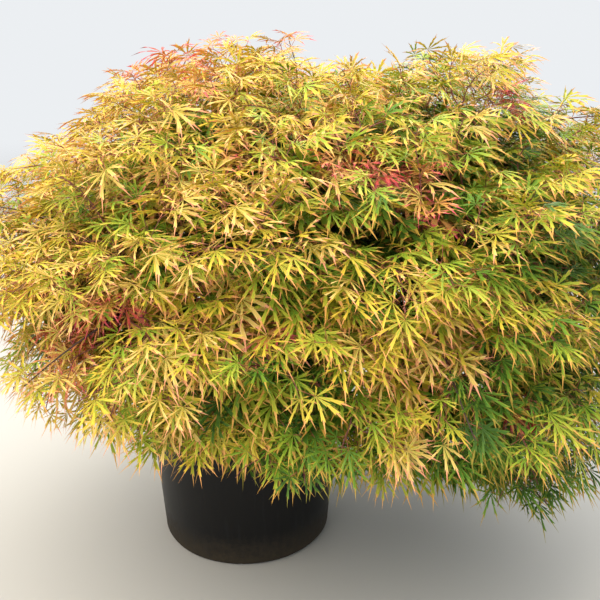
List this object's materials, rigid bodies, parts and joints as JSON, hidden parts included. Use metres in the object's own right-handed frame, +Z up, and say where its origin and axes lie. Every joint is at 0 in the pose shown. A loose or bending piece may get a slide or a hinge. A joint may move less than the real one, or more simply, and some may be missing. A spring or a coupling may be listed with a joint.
{
  "type": "potted japanese maple",
  "caption": "Low spreading japanese maple with cut leaves in yellow, green and orange, in a plain black nursery pot.",
  "frame": {"origin": "centre of the pot's flat underside, on the ground that the plant stands on", "axes": "+Z up along the pot's axis, -Y towards the side that the picture shows, +X to that viewer's right, the side to which the crown reaches farther"},
  "size_m": [1.6361, 1.4383, 1.2556],
  "materials": {
    "pot_resin": "blow-moulded black nursery plastic, dusty at the foot",
    "compost": "loose composted bark mix",
    "bark": "smooth young maple bark, finely fissured",
    "foliage_outer": "matt leaves, yellow-green with orange tips",
    "foliage_skirt": "matt leaves, mid green to yellow-green",
    "foliage_top": "matt leaves, golden yellow with red accents"
  },
  "bodies": {
    "root": {"pot": "pot_resin", "soil": "compost", "trunk": "bark", "bough_1": "bark", "bough_2": "bark", "bough_3": "bark", "bough_4": "bark", "bough_5": "bark", "bough_6": "bark", "bough_1_low": "bark", "bough_2_low": "bark", "bough_3_low": "bark", "bough_4_low": "bark", "bough_5_low": "bark", "bough_6_low": "bark", "bough_1_high": "bark", "bough_2_high": "bark", "bough_3_high": "bark", "bough_4_high": "bark", "bough_5_high": "bark", "bough_6_high": "bark", "foliage_outer_1": "foliage_outer", "foliage_outer_2": "foliage_outer", "foliage_outer_3": "foliage_outer", "foliage_outer_4": "foliage_outer", "foliage_outer_5": "foliage_outer", "foliage_outer_6": "foliage_outer", "foliage_skirt_1": "foliage_skirt", "foliage_skirt_2": "foliage_skirt", "foliage_skirt_3": "foliage_skirt", "foliage_skirt_4": "foliage_skirt", "foliage_skirt_5": "foliage_skirt", "foliage_skirt_6": "foliage_skirt", "foliage_top_1": "foliage_top", "foliage_top_2": "foliage_top", "foliage_top_3": "foliage_top", "foliage_top_4": "foliage_top", "foliage_top_5": "foliage_top", "foliage_top_6": "foliage_top"}
  },
  "joints": []
}
